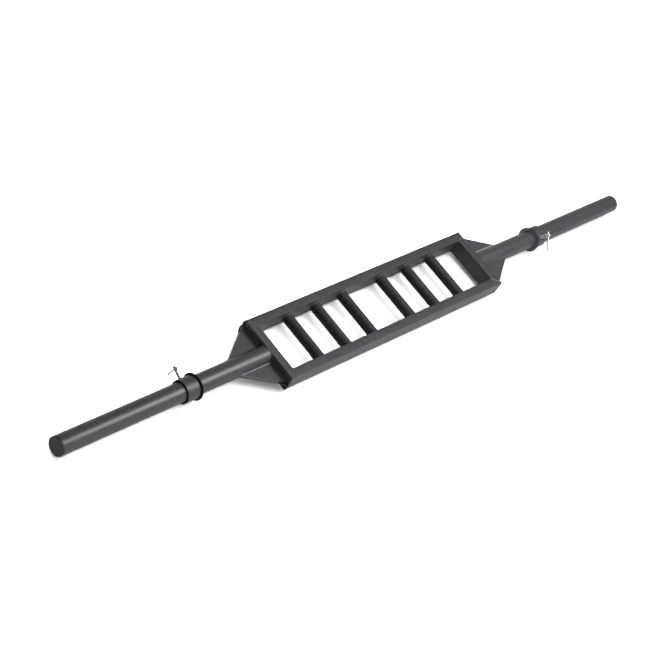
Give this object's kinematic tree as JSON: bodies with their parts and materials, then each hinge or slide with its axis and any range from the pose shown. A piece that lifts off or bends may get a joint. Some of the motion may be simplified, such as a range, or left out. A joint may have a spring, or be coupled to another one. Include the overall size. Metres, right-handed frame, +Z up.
{
  "type": "swiss bar",
  "caption": "Multi-grip barbell: a flat ladder frame of parallel hand grips with a plate sleeve at each end, and a sliding collar on each sleeve clamped by a screw with a tommy bar.",
  "frame": {"origin": "under the middle of the bar, level with the lowest point of the collar rings", "axes": "+X along the bar towards the right sleeve, +Y towards the rear rail, +Z up, square to the flat frame"},
  "size_m": [2.2, 0.19, 0.0895],
  "materials": {
    "frame_paint": "satin charcoal powder coat",
    "sleeve_paint": "satin charcoal powder coat",
    "collar_paint": "satin charcoal powder coat",
    "grip_paint": "dark textured powder coat",
    "cap_plastic": "fine matt dark plastic",
    "ring_rubber": "matt black rubber",
    "screw_chrome": "bright plated steel"
  },
  "bodies": {
    "frame": {"front_rail": "frame_paint", "rear_rail": "frame_paint", "left_end_rail": "frame_paint", "right_end_rail": "frame_paint", "left_front_gusset": "frame_paint", "left_rear_gusset": "frame_paint", "right_front_gusset": "frame_paint", "right_rear_gusset": "frame_paint", "grip_left_1": "grip_paint", "grip_left_2": "grip_paint", "grip_left_3": "grip_paint", "grip_right_1": "grip_paint", "grip_right_2": "grip_paint", "grip_right_3": "grip_paint", "left_sleeve": "sleeve_paint", "right_sleeve": "sleeve_paint", "left_end_cap": "cap_plastic", "right_end_cap": "cap_plastic"},
    "left_collar": {"left_collar": "collar_paint", "left_washer": "collar_paint", "left_ring": "ring_rubber", "left_buffer": "ring_rubber"},
    "left_screw": {"left_clamp_screw": "screw_chrome"},
    "left_tommy": {"left_tommy_bar": "screw_chrome", "left_lower_knob": "screw_chrome", "left_upper_knob": "screw_chrome"},
    "right_collar": {"right_collar": "collar_paint", "right_washer": "collar_paint", "right_ring": "ring_rubber", "right_buffer": "ring_rubber"},
    "right_screw": {"right_clamp_screw": "screw_chrome"},
    "right_tommy": {"right_tommy_bar": "screw_chrome", "right_lower_knob": "screw_chrome", "right_upper_knob": "screw_chrome"}
  },
  "joints": [
    {"name": "left_collar_slide", "type": "slide", "parent": "frame", "child": "left_collar", "axis": [-1, 0, 0], "range_m": [-0.137, 0.432]},
    {"name": "left_screw_turn", "type": "hinge", "parent": "left_collar", "child": "left_screw", "pos_m": [-0.698, 0, 0.0352], "axis": [0, 0.9613, 0.2756], "range_deg": [0, 720]},
    {"name": "left_tommy_slide", "type": "slide", "parent": "left_screw", "child": "left_tommy", "axis": [-0.2079, -0.2696, 0.9403], "range_m": [0, 0.034]},
    {"name": "right_collar_slide", "type": "slide", "parent": "frame", "child": "right_collar", "axis": [1, 0, 0], "range_m": [-0.137, 0.432]},
    {"name": "right_screw_turn", "type": "hinge", "parent": "right_collar", "child": "right_screw", "pos_m": [0.698, 0, 0.0352], "axis": [0, -0.5592, 0.829], "range_deg": [0, 720]},
    {"name": "right_tommy_slide", "type": "slide", "parent": "right_screw", "child": "right_tommy", "axis": [0.4226, 0.7514, 0.5068], "range_m": [0, 0.034]}
  ]
}
